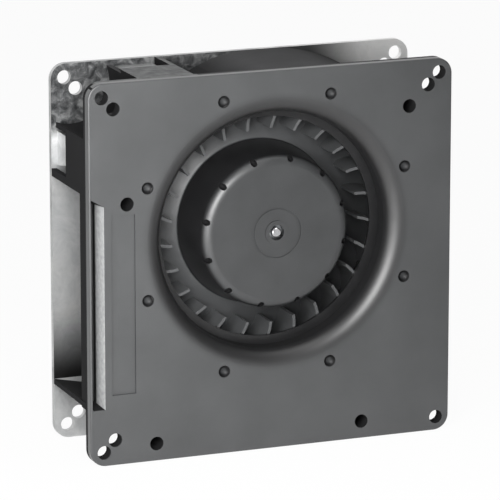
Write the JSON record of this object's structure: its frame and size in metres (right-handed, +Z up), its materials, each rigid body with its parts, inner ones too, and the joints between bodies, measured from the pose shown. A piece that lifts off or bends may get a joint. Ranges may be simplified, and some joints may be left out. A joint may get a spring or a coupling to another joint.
{
  "type": "cooling fan",
  "caption": "Square compact radial blower: dark moulded front housing with a round inlet and a side outlet, bright metal rear plate, and the motor inside the impeller's hub.",
  "frame": {"origin": "middle of the footprint: the blower stands on the lower edges of its two plates", "axes": "+Z up, +Y from the inlet side to the rear plate, +X to the right seen from the inlet side, so that the outlet faces -X"},
  "size_m": [0.121, 0.037, 0.121],
  "materials": {
    "housing_plastic": "fine-textured moulded plastic",
    "impeller_plastic": "moulded plastic, slightly glossy",
    "plate_aluminium": "die-cast, bare, lightly mottled",
    "flange_aluminium": "die-cast, bare",
    "tube_brass": "turned",
    "plug_plastic": "moulded",
    "grommet_rubber": "moulded",
    "lamination_steel": "stacked sheet, lacquered",
    "insulator_plastic": "moulded, natural",
    "coil_copper": "enamelled copper wire",
    "pin_steel": "tinned",
    "board_laminate": "solder mask",
    "chip_epoxy": "moulded epoxy",
    "capacitor_aluminium": "drawn can",
    "screw_steel": "zinc plated",
    "yoke_steel": "deep drawn, zinc plated",
    "magnet_rubber": "bonded ferrite",
    "shaft_steel": "ground",
    "spring_steel": "spring temper",
    "washer_steel": "stamped",
    "bearing_steel": "ground",
    "ball_steel": "polished",
    "cage_steel": "stamped",
    "shield_steel": "stamped"
  },
  "bodies": {
    "housing": {"front_housing": "housing_plastic", "rear_plate": "plate_aluminium", "motor_flange": "flange_aluminium", "bearing_tube": "tube_brass", "tube_plug": "plug_plastic", "cable_grommet": "grommet_rubber", "stator_core": "lamination_steel", "front_insulator": "insulator_plastic", "rear_insulator": "insulator_plastic", "stator_coils": "coil_copper", "winding_pins": "pin_steel", "circuit_board": "board_laminate", "hall_sensor": "chip_epoxy", "driver_chips": "chip_epoxy", "filter_capacitor": "capacitor_aluminium", "housing_screws": "screw_steel", "motor_screws": "screw_steel", "front_bearing_outer_race": "bearing_steel", "front_bearing_shields": "shield_steel", "rear_bearing_outer_race": "bearing_steel", "rear_bearing_shields": "shield_steel"},
    "rotor": {"impeller": "impeller_plastic", "rotor_yoke": "yoke_steel", "rotor_magnet": "magnet_rubber", "rotor_shaft": "shaft_steel", "disc_spring": "spring_steel", "thrust_washer": "washer_steel", "retaining_ring": "spring_steel", "front_bearing_inner_race": "bearing_steel", "rear_bearing_inner_race": "bearing_steel"},
    "front_cage": {"front_bearing_balls": "ball_steel", "front_bearing_cage": "cage_steel"},
    "rear_cage": {"rear_bearing_balls": "ball_steel", "rear_bearing_cage": "cage_steel"}
  },
  "joints": [
    {"name": "impeller_spin", "type": "hinge", "parent": "housing", "child": "rotor", "pos_m": [0.0016, 0, 0.0695], "axis": [0, 1, 0], "continuous": true},
    {"name": "front_cage_spin", "type": "hinge", "parent": "housing", "child": "front_cage", "pos_m": [0.0016, 0, 0.0695], "axis": [0, 1, 0], "continuous": true},
    {"name": "rear_cage_spin", "type": "hinge", "parent": "housing", "child": "rear_cage", "pos_m": [0.0016, 0, 0.0695], "axis": [0, 1, 0], "continuous": true}
  ],
  "couplings": [
    {"joint": "front_cage_spin", "follows": "impeller_spin", "ratio": 0.36909},
    {"joint": "rear_cage_spin", "follows": "impeller_spin", "ratio": 0.36909}
  ]
}
